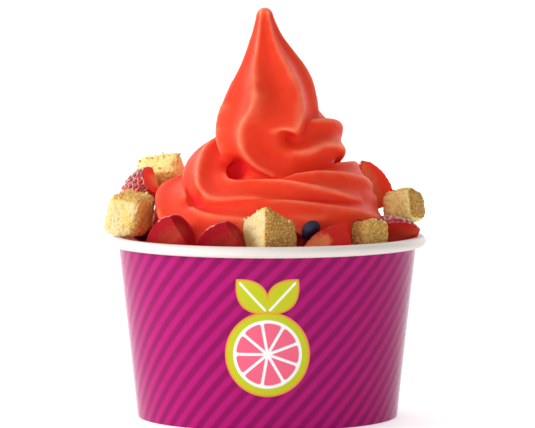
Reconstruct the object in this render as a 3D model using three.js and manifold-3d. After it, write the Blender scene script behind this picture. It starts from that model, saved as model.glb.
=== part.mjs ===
// A paper cup of piped sorbet, ringed with cake cubes, strawberry pieces and dark berries.
// Millimetres, +Z up. The origin is on the cup's axis where it stands, and the front faces -Y.
import * as THREE from "three";
import { RoundedBoxGeometry } from "three/addons/geometries/RoundedBoxGeometry.js";
import { mergeVertices } from "three/addons/utils/BufferGeometryUtils.js";
import Module from "manifold-3d";

const wasm = await Module();
wasm.setup();

const clearance = 0.35; // between a piece and what it sits in
const weldDistance = 1e-3; // corners nearer than this are one

// Cup
const rimDiameter = 96;
const cupHeight = 55;
const rimRoll = 3.2; // height of the rolled rim
const rimOverhang = 3; // of the roll beyond the wall under it
const baseRadius = 39.4;
const paper = 0.8;
const foldHeight = 6; // the wall is folded up inside around the base disc
const foldThickness = 1.8;
const baseThickness = 1.2;
const cupSides = 64;

// Sorbet in the cup, with the core that the coils close over
const fillEdge = 51; // its level at the wall
const fillCrown = 54; // its level at the core
const coreRadius = 13;
const coreShoulder = 64;
const coreTop = 77.5;
const coreStep = 30; // degrees along the core's dome
const fillSides = 48;

// Piped rope: quarter turns from its start on the left, reach from the axis, height, radius and the
// turn of its ridges in degrees. It climbs clockwise seen from above, steeply on the left.
const firstQuarter = -2;
const coil = [
  [0, 24, 53, 6, 60],
  [1, 25.5, 60, 9.2, 60],
  [2, 26, 60, 9.5, 60],
  [3, 26.5, 58.2, 9.5, 60],
  [3.5, 26.8, 56.2, 9.5, 54],
  [4, 26, 62.4, 9.4, 50],
  [4.5, 25, 64.6, 9.3, 32],
  [5, 24.5, 68.4, 9.2, -4],
  [6, 23.2, 68.4, 9, -36],
  [7, 20.5, 64.2, 9, 0],
  [7.5, 19.6, 64.4, 9, -42],
  [8, 16.4, 73.2, 8.8, -44],
  [8.5, 15, 77.2, 9, -52],
  [9, 14.2, 80.4, 9.2, -62],
  [10, 14.3, 83.1, 9.9, -74],
];
const stepsPerRow = 3;

// After the last coil the rope turns up into the peak: x, y, z, radius and turn of its ridges
const peak = [
  [9.4, -5.4, 79, 10, -85],
  [5.6, -7.4, 76.6, 9.2, -98],
  [1.6, -7.4, 78.9, 8.3, -117],
  [-1.7, -6, 83.3, 13.8, -109],
  [0.6, -4.2, 90, 14.6, -99],
  [1.3, -2, 95.8, 13.6, -100],
  [1.4, -1, 100.9, 12.2, -104],
  [1.1, -0.4, 104.5, 10.4, -107],
  [0.6, 0, 108.2, 8.2, -110],
  [-0.25, 0, 113.6, 5.3, -110],
  [-0.6, 0, 117.3, 3.7, -110],
  [-0.85, 0, 121.2, 2.6, -110],
];
const tipSteps = 3;
const ringSpacing = 4.6;

// The nozzle's star section
const ridges = 6;
const ridgeDepth = 0.23; // of the rope's radius
const ridgeRise = 0.06; // of the ridges above the rope's nominal radius
const firstRidge = 18; // degrees from the front, towards the right
const pointsPerRidge = 4;
const tightestBend = 0.9; // share of the bend's own radius that the inside of the rope may fill
const straightest = 1e-6; // least bend that is told from a straight run
const ringsPerStretch = 6;

// Toppings. Each piece is made facing the front, then turned about X, Y and Z by degrees and carried
// round the cup: its azimuth (0 to the right, -90 in front), reach from the axis and height.
const cakeEdge = 1.8;
const cakes = {
  cake_front: { size: [13.2, 13.2, 15.4], place: [-88.7, 34.2, 59.6], turns: [-6, 5, 34.5], slope: 0.85 },
  cake_front_right: { size: [8.6, 9.2, 9.8], place: [-37.6, 38, 56.2], turns: [-6, 6, -20] },
  cake_right: { size: [12.6, 11, 10.6], place: [8, 42, 63], turns: [14, 10, 52] },
  cake_left: { size: [11.8, 11.8, 11.6], place: [-171.5, 42, 62], turns: [4, 8, 54] },
  cake_back_left: { size: [11, 14, 11], place: [147, 39, 71.2], turns: [6, 36, 26] },
  cake_back: { size: [12, 12, 11.6], place: [104, 37, 60.6], turns: [-8, 9, 34] },
  cake_back_right: { size: [11, 10.4, 11], place: [52, 38, 60], turns: [7, -9, 12] },
};

// A strawberry hulled with a flat cut and halved along its length: its tip points left, its flat faces out
const strawberryLength = 15.5;
const strawberryRadius = 6.4;
const strawberryDepth = 7.2; // from the flat to the round back
const strawberrySides = 16;
// Shares of its radius and length, from the tip to the top
const strawberryOutline = [[0, 0], [0.42, 0.1], [0.78, 0.33], [1, 0.64], [0.96, 0.86], [0.84, 1], [0, 1]];
const strawberries = {
  strawberry_left: { place: [167.4, 42.3, 67], turns: [168, -34, 67] },
  strawberry_front_left: { place: [-138.6, 38.4, 55.4], turns: [12, -30, 4] },
  strawberry_front: { place: [-112.7, 38.1, 54.2], turns: [12, -30, 0] },
  strawberry_front_right: { place: [-62.6, 36.5, 52.5], turns: [-20, -14, -14] },
  strawberry_right: { place: [-12.5, 38.6, 57.5], turns: [-35, 166, -68] },
  strawberry_back_right: { place: [26, 33.8, 69.2], turns: [-15, 72, -110] },
  strawberry_back: { place: [78, 38.6, 58], turns: [-12, -26, 0] },
  strawberry_rear_left: { place: [131, 38.6, 57.4], turns: [-14, 24, 0] },
};

const berrySquash = 0.86; // its height, as a share of its diameter
const berrySides = 12;
const berryRows = 8;
const berries = {
  dark_berry_front_right: { diameter: 7.8, place: [-67.4, 31.2, 59.6] },
  dark_berry_front_left: { diameter: 9, place: [-123.4, 32.6, 53] },
  dark_berry_right: { diameter: 9, place: [6, 38, 52.6] },
  dark_berry_left: { diameter: 9, place: [169, 38.6, 56.4] },
  dark_berry_back: { diameter: 9, place: [119, 36, 52.4] },
  dark_berry_rear_right: { diameter: 9, place: [31, 37, 57] },
};

const colours = {
  paper: { color: 0x9c1f6e, roughness: 0.45 },
  base: { color: 0xf2eee9, roughness: 0.6 },
  sorbet: { color: 0xe8482f, roughness: 0.45 },
  cake: { color: 0xe3c878, roughness: 0.9 },
  strawberry: { color: 0xa81420, roughness: 0.3 },
  berry: { color: 0x2a1838, roughness: 0.45 },
};

const part = new THREE.Group();

function addPiece(name, geometry, finish) {
  const mesh = new THREE.Mesh(geometry, new THREE.MeshStandardMaterial({ metalness: 0, ...finish }));
  mesh.name = name;
  part.add(mesh);
  return mesh;
}

function solidOf(geometry) {
  const bare = new THREE.BufferGeometry();
  bare.setAttribute("position", geometry.getAttribute("position"));
  bare.setIndex(geometry.index);
  const merged = mergeVertices(bare, weldDistance);
  const vertProperties = new Float32Array(merged.getAttribute("position").array);
  const triVerts = new Uint32Array(merged.index.array);
  return new wasm.Manifold(new wasm.Mesh({ numProp: 3, vertProperties, triVerts }));
}

function geometryOf(solid) {
  const mesh = solid.getMesh();
  const geometry = new THREE.BufferGeometry();
  geometry.setAttribute("position", new THREE.BufferAttribute(mesh.vertProperties, 3));
  geometry.setIndex(new THREE.BufferAttribute(mesh.triVerts, 1));
  geometry.computeVertexNormals();
  return geometry;
}

// Radius and height pairs turned about the vertical axis
function turned(profile, sides) {
  const points = profile.map(([radius, height]) => new THREE.Vector2(radius, height));
  return new THREE.LatheGeometry(points, sides).rotateX(Math.PI / 2);
}

// The wall's outer radius at a height
const wallTop = cupHeight - rimRoll;
const wallTopRadius = rimDiameter / 2 - rimOverhang;
const wallRadius = (z) => THREE.MathUtils.mapLinear(z, 0, wallTop, baseRadius, wallTopRadius);

function cupWall() {
  const inner = (z) => wallRadius(z) - paper;
  const roll = rimRoll / 2;
  const rollOut = rimDiameter / 2 - roll;
  const profile = [
    [baseRadius - foldThickness, 0],
    [baseRadius, 0],
    [wallTopRadius, wallTop],
    [rollOut, wallTop],
  ];
  for (let degrees = -45; degrees <= 90; degrees += 45) {
    const angle = THREE.MathUtils.degToRad(degrees);
    profile.push([rollOut + roll * Math.cos(angle), wallTop + roll + roll * Math.sin(angle)]);
  }
  profile.push(
    [inner(cupHeight) + roll, cupHeight],
    [inner(cupHeight), cupHeight - roll],
    [inner(foldHeight), foldHeight],
    [wallRadius(foldHeight) - foldThickness, foldHeight],
    [baseRadius - foldThickness, 0],
  );
  return turned(profile, cupSides);
}

// The base disc lies on the folded edge, so the cup stands on its ring with a recess beneath
const discBottom = foldHeight + clearance;
const discTop = discBottom + baseThickness;

function cupBase() {
  const radius = wallRadius(discBottom) - paper - clearance;
  return turned([[0, discBottom], [radius, discBottom], [radius, discTop], [0, discTop]], cupSides);
}

function fill() {
  const bottom = discTop + clearance;
  const reach = (z) => wallRadius(z) - paper - clearance;
  const profile = [
    [0, bottom],
    [reach(bottom), bottom],
    [reach(fillEdge), fillEdge],
    [coreRadius, fillCrown],
  ];
  for (let degrees = 0; degrees < 90; degrees += coreStep) {
    const angle = THREE.MathUtils.degToRad(degrees);
    const rise = (coreTop - coreShoulder) * Math.sin(angle);
    profile.push([coreRadius * Math.cos(angle), coreShoulder + rise]);
  }
  profile.push([0, coreTop]);
  return turned(profile, fillSides);
}

// A smooth value between the listed ones
function between(values, place) {
  const last = values.length - 1;
  const index = Math.min(Math.floor(place), last - 1);
  const value = (k) => values[THREE.MathUtils.clamp(index + k, 0, last)];
  const t = place - index;
  const straight = value(1) - value(-1);
  const square = 2 * value(-1) - 5 * value(0) + 4 * value(1) - value(2);
  const cube = 3 * value(0) - value(-1) - 3 * value(1) + value(2);
  return 0.5 * (2 * value(0) + straight * t + square * t ** 2 + cube * t ** 3);
}

const column = (rows, index) => rows.map((row) => row[index]);

function ropeStations() {
  const stations = [];
  for (let step = 0; step <= stepsPerRow * (coil.length - 1); step++) {
    const value = (index) => between(column(coil, index), step / stepsPerRow);
    const angle = (-Math.PI / 2) * (value(0) + firstQuarter);
    const reach = value(1);
    stations.push([reach * Math.cos(angle), reach * Math.sin(angle), value(2), value(3), value(4)]);
  }
  return [...stations, ...peak];
}

// The rope as evenly spaced rings: middle, direction, radius, turn and how sharply it bends
function ropeRings() {
  const stations = ropeStations();
  const [radii, turns] = [column(stations, 3), column(stations, 4)];
  const middles = stations.map(([x, y, z]) => new THREE.Vector3(x, y, z));
  const line = new THREE.CatmullRomCurve3(middles, false, "centripetal");
  const count = Math.round(line.getLength() / ringSpacing);
  const rings = [];
  for (let i = 0; i <= count; i++) {
    const t = line.getUtoTmapping(i / count);
    const place = t * (stations.length - 1);
    rings.push({
      middle: line.getPoint(t),
      along: line.getTangent(t),
      radius: between(radii, place),
      turn: between(turns, place),
    });
  }
  const end = rings[count];
  for (let i = 1; i <= tipSteps; i++) {
    const angle = (i / (tipSteps + 0.5)) * (Math.PI / 2);
    const middle = end.middle.clone().addScaledVector(end.along, end.radius * Math.sin(angle));
    rings.push({ ...end, middle, radius: end.radius * Math.cos(angle) });
  }
  rings.forEach((ring, i) => {
    const before = rings[Math.max(i - 1, 0)];
    const after = rings[Math.min(i + 1, rings.length - 1)];
    const run = after.middle.distanceTo(before.middle);
    ring.bend = after.along.clone().sub(before.along).divideScalar(run);
  });
  return rings;
}

// Each ring is the nozzle's level star, turned and then tipped over to the rope's direction
function ringPoints({ middle, along, radius, turn, bend }) {
  const tip = new THREE.Quaternion().setFromUnitVectors(new THREE.Vector3(0, 0, 1), along);
  const inward = bend.clone().normalize();
  const furthest = tightestBend / Math.max(bend.length(), straightest);
  const sides = ridges * pointsPerRidge;
  const points = [];
  for (let i = 0; i < sides; i++) {
    const aroundRidge = (i / sides) * 2 * Math.PI;
    const angle = aroundRidge + THREE.MathUtils.degToRad(firstRidge + turn);
    const valley = Math.abs(Math.sin((ridges * aroundRidge) / 2));
    const reach = radius * (1 + ridgeRise - ridgeDepth * valley);
    const point = new THREE.Vector3(Math.sin(angle), -Math.cos(angle), 0).multiplyScalar(reach);
    point.applyQuaternion(tip);
    const excess = Math.max(point.dot(inward) - furthest, 0);
    point.addScaledVector(inward, -excess);
    points.push(point.add(middle));
  }
  return points;
}

// A closed stretch of rope through the given rings
function stretch(rings) {
  const sides = ridges * pointsPerRidge;
  const points = rings.flatMap(ringPoints);
  const first = points.push(rings[0].middle) - 1;
  const last = points.push(rings[rings.length - 1].middle) - 1;
  const faces = [];
  for (let side = 0; side < sides; side++) {
    const next = (side + 1) % sides;
    for (let ring = 0; ring + 1 < rings.length; ring++) {
      const [low, high] = [ring * sides, (ring + 1) * sides];
      faces.push(low + side, low + next, high + next, low + side, high + next, high + side);
    }
    const top = (rings.length - 1) * sides;
    faces.push(first, next, side, last, top + side, top + next);
  }
  return new THREE.BufferGeometry().setFromPoints(points).setIndex(faces);
}

// The fill and the rope joined, with a pocket for each topping. Only the largest body is kept:
// the others are scraps and the hollows that the coils shut in.
function sorbet(toppings) {
  const rings = ropeRings();
  let solid = solidOf(fill());
  for (let i = 0; i + 1 < rings.length; i += ringsPerStretch) {
    solid = solid.add(solidOf(stretch(rings.slice(i, i + ringsPerStretch + 1))));
  }
  for (const topping of toppings) solid = solid.subtract(pocketFor(topping));
  const [largest] = solid.decompose().sort((a, b) => b.volume() - a.volume());
  return geometryOf(largest);
}

// A piece grown by the clearance all round
function pocketFor(mesh) {
  const grown = mesh.geometry.clone();
  grown.computeBoundingBox();
  const size = grown.boundingBox.getSize(new THREE.Vector3());
  const share = (length) => (length + 2 * clearance) / length;
  grown.scale(share(size.x), share(size.y), share(size.z));
  return solidOf(grown.applyMatrix4(mesh.matrixWorld));
}

function carry(mesh, [azimuth, reach, height], [x, y, z]) {
  const radians = THREE.MathUtils.degToRad;
  const round = radians(azimuth);
  mesh.position.set(reach * Math.cos(round), reach * Math.sin(round), height);
  mesh.rotation.set(radians(x), radians(y), radians(z + azimuth + 90), "ZYX");
  mesh.updateMatrixWorld();
  return mesh;
}

// A cube that gets lower away from one upright edge, by the slope's share at the far one
function cakeCube(size, slope) {
  const cube = new RoundedBoxGeometry(...size, 1, cakeEdge);
  const spots = cube.getAttribute("position");
  const [width, depth, height] = size;
  for (let i = 0; i < spots.count; i++) {
    const away = (spots.getX(i) / width + spots.getY(i) / depth + 1) / 2;
    const rise = spots.getZ(i) + height / 2;
    spots.setZ(i, rise * (1 - slope * away) - height / 2);
  }
  return cube;
}

function halfStrawberry() {
  const sized = ([out, along]) => [out * strawberryRadius, along * strawberryLength];
  const profile = strawberryOutline.map(sized);
  const whole = solidOf(turned(profile, strawberrySides).rotateY(Math.PI / 2));
  const wide = 3 * strawberryLength;
  const kept = new THREE.BoxGeometry(wide, strawberryDepth, wide);
  kept.translate(0, strawberryRadius - strawberryDepth / 2, 0);
  return geometryOf(whole.intersect(solidOf(kept))).center();
}

function darkBerry(diameter) {
  const ball = new THREE.SphereGeometry(diameter / 2, berrySides, berryRows);
  return ball.scale(1, berrySquash, 1).rotateX(Math.PI / 2);
}

addPiece("cup_wall", cupWall(), colours.paper);
addPiece("cup_base", cupBase(), colours.base);

const toppings = [];
for (const [name, { size, place, turns, slope = 0 }] of Object.entries(cakes)) {
  toppings.push(carry(addPiece(name, cakeCube(size, slope), colours.cake), place, turns));
}
for (const [name, { place, turns }] of Object.entries(strawberries)) {
  toppings.push(carry(addPiece(name, halfStrawberry(), colours.strawberry), place, turns));
}
for (const [name, { diameter, place }] of Object.entries(berries)) {
  toppings.push(carry(addPiece(name, darkBerry(diameter), colours.berry), place, [0, 0, 0]));
}

addPiece("sorbet", sorbet(toppings), colours.sorbet);

export default part;
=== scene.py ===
import math

import bmesh
import bpy
import numpy as np
from mathutils import Euler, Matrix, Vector
from mathutils.bvhtree import BVHTree


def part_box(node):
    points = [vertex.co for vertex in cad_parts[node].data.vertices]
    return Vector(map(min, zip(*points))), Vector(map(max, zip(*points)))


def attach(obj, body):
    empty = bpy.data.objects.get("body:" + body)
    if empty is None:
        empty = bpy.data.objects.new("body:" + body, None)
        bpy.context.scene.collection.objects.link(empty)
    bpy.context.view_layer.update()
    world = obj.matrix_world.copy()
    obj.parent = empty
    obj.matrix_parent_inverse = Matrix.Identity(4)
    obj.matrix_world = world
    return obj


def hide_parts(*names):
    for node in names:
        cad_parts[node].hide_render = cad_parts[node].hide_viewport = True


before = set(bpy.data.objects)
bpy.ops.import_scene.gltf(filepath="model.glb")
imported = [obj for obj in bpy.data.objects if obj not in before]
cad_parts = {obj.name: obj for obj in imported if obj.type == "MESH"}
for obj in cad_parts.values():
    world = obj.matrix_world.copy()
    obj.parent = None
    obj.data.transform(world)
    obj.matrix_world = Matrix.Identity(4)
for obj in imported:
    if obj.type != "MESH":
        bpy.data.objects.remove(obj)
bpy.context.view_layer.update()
mm = 0.001
print("frame loaded:", len(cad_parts), "nodes")


# Shader sockets that add up as Python values
class Value:
    def __init__(self, paint, socket):
        self.paint = paint
        self.socket = socket

    def __add__(self, other):
        return self.paint.math("ADD", self, other)

    __radd__ = __add__

    def __sub__(self, other):
        return self.paint.math("SUBTRACT", self, other)

    def __rsub__(self, other):
        return self.paint.math("SUBTRACT", other, self)

    def __mul__(self, other):
        return self.paint.math("MULTIPLY", self, other)

    __rmul__ = __mul__

    def __abs__(self):
        return self.paint.math("ABSOLUTE", self)


# The nodes of a material, or of the world when it is given. Lengths in it are millimetres.
class Paint:
    def __init__(self, name, fixed, world=None):
        self.material = world or bpy.data.materials.new(name)
        self.material.use_nodes = True
        self.tree = self.material.node_tree
        self.shader = self.tree.nodes["Background" if world else "Principled BSDF"]
        self.shade(fixed)

    def feed(self, socket, value):
        if isinstance(value, Value):
            self.tree.links.new(value.socket, socket)
        elif socket.type == "RGBA":
            socket.default_value = (*value, 1)
        else:
            socket.default_value = value

    def node(self, kind, settings, sockets, out=0):
        made = self.tree.nodes.new("ShaderNode" + kind)
        for name, value in settings.items():
            setattr(made, name, value)
        for name, value in sockets.items():
            self.feed(made.inputs[name], value)
        return Value(self, made.outputs[out])

    def shade(self, sockets):
        for name, value in sockets.items():
            self.feed(self.shader.inputs[name], value)

    def math(self, operation, first, second=0.0, third=0.0):
        return self.node("Math", {"operation": operation}, {0: first, 1: second, 2: third})

    def mix(self, share, first, second):
        return self.node("Mix", {"data_type": "RGBA"}, {0: share, 6: first, 7: second}, 2)

    # 0 at low and 1 at high, whichever is the larger
    def soften(self, value, low, high):
        return self.node("MapRange", {"interpolation_type": "SMOOTHSTEP"}, {0: value, 1: low, 2: high})

    def place(self):
        spot = self.node("TexCoord", {}, {}, 3)
        return self.node("VectorMath", {"operation": "SCALE"}, {0: spot, "Scale": 1 / mm})

    def noise(self, size, detail=2.0):
        return self.node("TexNoise", {}, {"Vector": self.place(), "Scale": 1 / size, "Detail": detail})

    def stored(self, name):
        return self.node("Attribute", {"attribute_name": name}, {}, 2)

    # Light that goes into the surface, and how deep
    def glow(self, weight, radius, depth):
        self.shade({"Subsurface Weight": weight, "Subsurface Radius": radius})
        self.shade({"Subsurface Scale": depth * mm})

    def bump(self, height, depth):
        self.shade({"Normal": self.node("Bump", {}, {"Height": height, "Distance": depth * mm})})


# Large numbers that turn a cell's place and a seed into a random value
noiseKeys = {
    "place": (73856093, 19349663, 83492791),
    "seed": 2654435761,
    "scramble": 1274126177,
    "shift": 0.37,
}


# Smooth noise from -1 to 1, with cells of the given size
def bumpy(points, size, seed):
    cells = points / size + noiseKeys["shift"] * seed
    low = np.floor(cells).astype(np.int64)
    part = cells - low
    part = part * part * (3 - 2 * part)
    total = np.zeros(len(points))
    for corner in np.ndindex(2, 2, 2):
        key = np.bitwise_xor.reduce((low + corner) * noiseKeys["place"], axis=1) ^ seed * noiseKeys["seed"]
        key = (key ^ (key >> 13)) * noiseKeys["scramble"]
        value = ((key ^ (key >> 16)) & 65535) / 32767.5 - 1
        total += np.where(corner, part, 1 - part).prod(axis=1) * value
    return total


def ramp(values, low, high):
    share = np.clip((values - low) / (high - low), 0, 1)
    return share * share * (3 - 2 * share)


# Angles once round
def allRound(sides):
    return np.linspace(0, 2 * math.pi, sides, endpoint=False)


# Each of the first with each of the second, as two flat arrays
def crossed(first, second):
    return (a.ravel() for a in np.meshgrid(first, second, indexing="ij"))


# How far along a line its points lie
def travel(points, power=1):
    steps = np.linalg.norm(np.diff(points, axis=0), axis=1)
    return np.concatenate([[0], np.cumsum(steps ** power)])


# A smooth line through rows whose first columns are coordinates
def curveThrough(rows, steps):
    rows = np.array(rows, float)
    rows = np.vstack([2 * rows[0] - rows[1], rows, 2 * rows[-1] - rows[-2]])
    line = []
    for i in range(1, len(rows) - 2):
        p = rows[i - 1:i + 3]
        knots = travel(p[:, :3], 0.5)
        for t in np.linspace(knots[1], knots[2], steps, endpoint=False):
            level = p
            for first, last in ((knots[:3], knots[1:]), (knots[:2], knots[2:]), (knots[1:2], knots[2:3])):
                after = ((t - first) / (last - first))[:, None]
                level = level[:-1] * (1 - after) + level[1:] * after
            line.append(level[0])
    line.append(rows[-2])
    return np.array(line)


# Quads between rows of points that close round
def tubeFaces(rows, sides):
    row, side = crossed(np.arange(rows - 1), np.arange(sides))
    after = (side + 1) % sides
    quads = [row * sides + side, row * sides + after, (row + 1) * sides + after, (row + 1) * sides + side]
    return np.stack(quads, axis=1)


# Radius and height pairs turned about the cup's axis
def lathe(profile, angles):
    profile = np.array(profile, float)
    ring = np.stack([np.cos(angles), np.sin(angles), np.zeros(len(angles))], axis=1)
    points = profile[:, None, :1] * ring[None] + profile[:, None, 1:] * np.array([0, 0, 1])
    return points.reshape(-1, 3), tubeFaces(len(profile), len(angles))


def arc(middle, radius, start, stop, steps):
    angles = np.radians(np.linspace(start, stop, steps))
    return [(middle[0] + radius * math.cos(a), middle[1] + radius * math.sin(a)) for a in angles]


# Joins points closer than weld, drops edges shorter than shortest and turns all faces outwards
def mend(mesh, weld, shortest):
    shape = bmesh.new()
    shape.from_mesh(mesh)
    if weld:
        bmesh.ops.remove_doubles(shape, verts=shape.verts, dist=weld)
        bmesh.ops.dissolve_degenerate(shape, edges=shape.edges, dist=shortest)
    bmesh.ops.recalc_face_normals(shape, faces=shape.faces)
    shape.to_mesh(mesh)
    shape.free()


def buildMesh(name, points, faces, weld=1e-7, shortest=1e-8):
    mesh = bpy.data.meshes.new(name)
    mesh.from_pydata(np.asarray(points) * mm, [], [tuple(map(int, face)) for face in faces])
    mend(mesh, weld, shortest)
    return mesh


# One value for each point, or one for all
def store(mesh, name, values):
    layer = mesh.attributes.new(name, "FLOAT", "POINT")
    values = np.broadcast_to(values, len(mesh.vertices))
    layer.data.foreach_set("value", np.ascontiguousarray(values, np.float32))


def readRows(items, name, width, kind=float):
    flat = np.empty(len(items) * width, kind)
    items.foreach_get(name, flat)
    return flat.reshape(-1, width)


def meshPoints(mesh):
    return readRows(mesh.vertices, "co", 3) / mm


def setPoints(mesh, points):
    mesh.vertices.foreach_set("co", np.ascontiguousarray(points * mm, np.float32).ravel())
    mesh.update()


def meshNormals(mesh):
    return readRows(mesh.vertex_normals, "vector", 3)


def meshEdges(mesh):
    return readRows(mesh.edges, "vertices", 2, np.int32)


def link(name, data):
    item = bpy.data.objects.new(name, data)
    bpy.context.scene.collection.objects.link(item)
    return item


# Shows a mesh as a piece of the object, in place of the CAD nodes named
def addPiece(name, mesh, paints, slotName, *nodes):
    for paint in paints:
        mesh.materials.append(paint.material)
    mesh.polygons.foreach_set("use_smooth", np.ones(len(mesh.polygons), bool))
    piece = link(name, mesh)
    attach(piece, "root")
    if nodes:
        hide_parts(*nodes)
    return piece


# Shows a topping, named by its kind and by where its node is
def addTopping(kind, mesh, paints, slotName, node):
    where = node[len(slotName):].title().replace("_", "")
    return addPiece(kind + where, mesh, paints, slotName, node)


# Turns points as the CAD piece is turned, and moves them until their box has the same middle
def settle(points, node, turns):
    low, high = (np.array(corner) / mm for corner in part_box(node))
    middle = (low + high) / 2
    x, y, z = turns
    azimuth = math.degrees(math.atan2(middle[1], middle[0]))
    turn = Euler([math.radians(a) for a in (x, y, z + azimuth + 90)], "XYZ").to_matrix()
    points = points @ np.array(turn).T
    return points + middle - (points.min(axis=0) + points.max(axis=0)) / 2


# Studio
studio = {
    "cameraPlace": (0, -1270, 155),
    "cameraAim": (0, 0, 61.3),
    "pixelsPerMm": 3.302,  # at the cup's axis
    "pictureWidth": 535,
    "sensor": 36,
    "floorRadius": 4000,
    "floorDrop": 0.02,
    "floorSides": 64,
    "floorColour": (0.9, 0.91, 0.91),
    "floorGlow": 0.42,
    "surroundBehind": (1.03, 1.03, 1.03),
    "surroundAway": (0.3, 0.3, 0.3),
    "surroundAslant": (3.1, 3.0, 3.05),
    "rightDimness": 0.9,
    # directions between which the surround changes
    "awayToBehind": (-0.3, 0.6),
    "aslantSide": (0.15, 0.3),
    "aslantDepth": (0.5, 0.8),
    "lamps": {
        "key": {"place": (-620, -160, 300), "size": 320, "watts": 2.6},
        "front": {"place": (-60, -760, 460), "size": 900, "watts": 1.9},
        "fill": {"place": (560, -420, 260), "size": 300, "watts": 0.15},
    },
}


# Puts a camera or a lamp in its place, looking at the cup
def hang(name, data, place):
    item = link(name, data)
    item.location = Vector(place) * mm
    toCup = Vector(studio["cameraAim"]) - Vector(place)
    item.rotation_euler = toCup.to_track_quat("-Z", "Y").to_euler()
    return item


def addCamera():
    place, aim = Vector(studio["cameraPlace"]), Vector(studio["cameraAim"])
    lens = bpy.data.cameras.new("camera")
    lens.sensor_width = studio["sensor"]
    lens.lens = studio["pixelsPerMm"] * (aim - place).length * studio["sensor"] / studio["pictureWidth"]
    bpy.context.scene.camera = hang("camera", lens, place)


def addFloor():
    drop = -studio["floorDrop"]
    points, faces = lathe([(0, drop), (studio["floorRadius"], drop)], allRound(studio["floorSides"]))
    paint = Paint("paleFloor", {"Roughness": 0.6, "Specular IOR Level": 0.3, "Emission Color": (1, 1, 1)})
    paint.shade({"Emission Strength": studio["floorGlow"]})
    grain = paint.noise(30, 3)
    pale = studio["floorColour"]
    paint.shade({"Base Color": paint.mix(grain, [0.99 * c for c in pale], pale)})
    mesh = buildMesh("floor", points, faces)
    mesh.materials.append(paint.material)
    floor = link("floor", mesh)


def addLight():
    # white behind and to the left, dimmer in front and to the right, so that glossy faces keep
    # their colour, and brightest aslant from behind, which makes the cup's sides pale
    world = bpy.data.worlds.new("studio")
    sky = Paint("studio", {"Strength": 1.0}, world)
    direction = sky.node("TexCoord", {}, {}, 0)
    side, depth = (sky.node("SeparateXYZ", {}, {0: direction}, k) for k in range(2))
    share = sky.soften(depth - side * studio["rightDimness"], *studio["awayToBehind"])
    colour = sky.mix(share, studio["surroundAway"], studio["surroundBehind"])
    aslant = sky.soften(abs(side), *studio["aslantSide"]) * sky.soften(depth, *studio["aslantDepth"])
    sky.shade({"Color": sky.mix(aslant, colour, studio["surroundAslant"])})
    bpy.context.scene.world = world
    for name, lamp in studio["lamps"].items():
        area = bpy.data.lights.new(name, "AREA")
        area.energy = lamp["watts"]
        area.size = lamp["size"] * mm
        hang(name, area, lamp["place"])
    bpy.context.scene.view_settings.view_transform = "Standard"


addCamera()
addFloor()
addLight()
print("studio set up")

# Paper cup
cup = {
    "rimRadius": 48,
    "height": 55,
    "rimRoll": 3.2,
    "rimOverhang": 3,
    "baseRadius": 39.4,
    "board": 0.8,
    "foldHeight": 6,
    "foldThickness": 1.8,
    "baseThickness": 1.2,
    "gap": 0.35,
    "bevel": 0.3,
    "footCorner": [(-0.35, 0), (-0.08, 0.15)],  # out from the foot's edge, and up
    "wallRows": 24,
    "wallEnds": (0.5, 0.2),  # short of the foot and of the roll
    "underRoll": [(0.1, 0.25), (0.6, 0.12)],  # out from the wall's top, and up
    "rollSpan": (-88, 90),
    "rollSteps": 20,
    "lip": 1.1,
    "lipSteps": 8,
    "insideHeights": [48, 36, 24, 12],
    "foldBevel": 0.2,
    "embossRadius": 26,
    "embossSlope": 1,
    "embossDepth": 0.25,
    "baseSides": 128,
    "sides": 192,
    "seamAngle": 97,  # behind, so that the seam doesn't cross the print
    "seamWidth": 7,
    "seamStep": 0.4,
    "seamEdge": 0.004,  # radians over which the step falls off
    "printDepth": 0.3,
    "printStart": 0.05,
    "stripes": 48,
    "stripeRise": 5.8,  # height from one stripe to the next
    "stripeSoftness": 0.75,
    "inkPatch": 9,
    "inkRange": (0.35, 0.75),
    "inkShare": 0.12,
    "stripeLight": (0.42, 0.007, 0.157),
    "stripeDark": (0.25, 0.003, 0.096),
    "white": (0.78, 0.72, 0.67),
}
cup["wallTop"] = cup["height"] - cup["rimRoll"]
cup["wallTopRadius"] = cup["rimRadius"] - cup["rimOverhang"]
cup["slope"] = (cup["wallTopRadius"] - cup["baseRadius"]) / cup["wallTop"]

# A slice of fruit with two leaves, printed at the front and at the back
emblem = {
    "middle": 23,
    "rind": 12,
    "outline": 0.65,
    "pith": 10.2,
    "flesh": 9.3,
    "segments": 9,
    "membrane": 0.42,
    "leafFoot": 12.4,
    "leafLength": 13,
    "leafWidth": 3.6,
    "leafLean": 47,
    "veinWidth": 0.32,
    "veinInset": 0.7,
    "segmentRound": 1.2,
    "soft": 0.14,
    "pink": (0.83, 0.13, 0.22),
    "white": (0.9, 0.88, 0.88),
    "lime": (0.52, 0.55, 0.018),
    "ochre": (0.72, 0.32, 0.04),
}


def wallRadius(z):
    return cup["baseRadius"] + cup["slope"] * z


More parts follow.
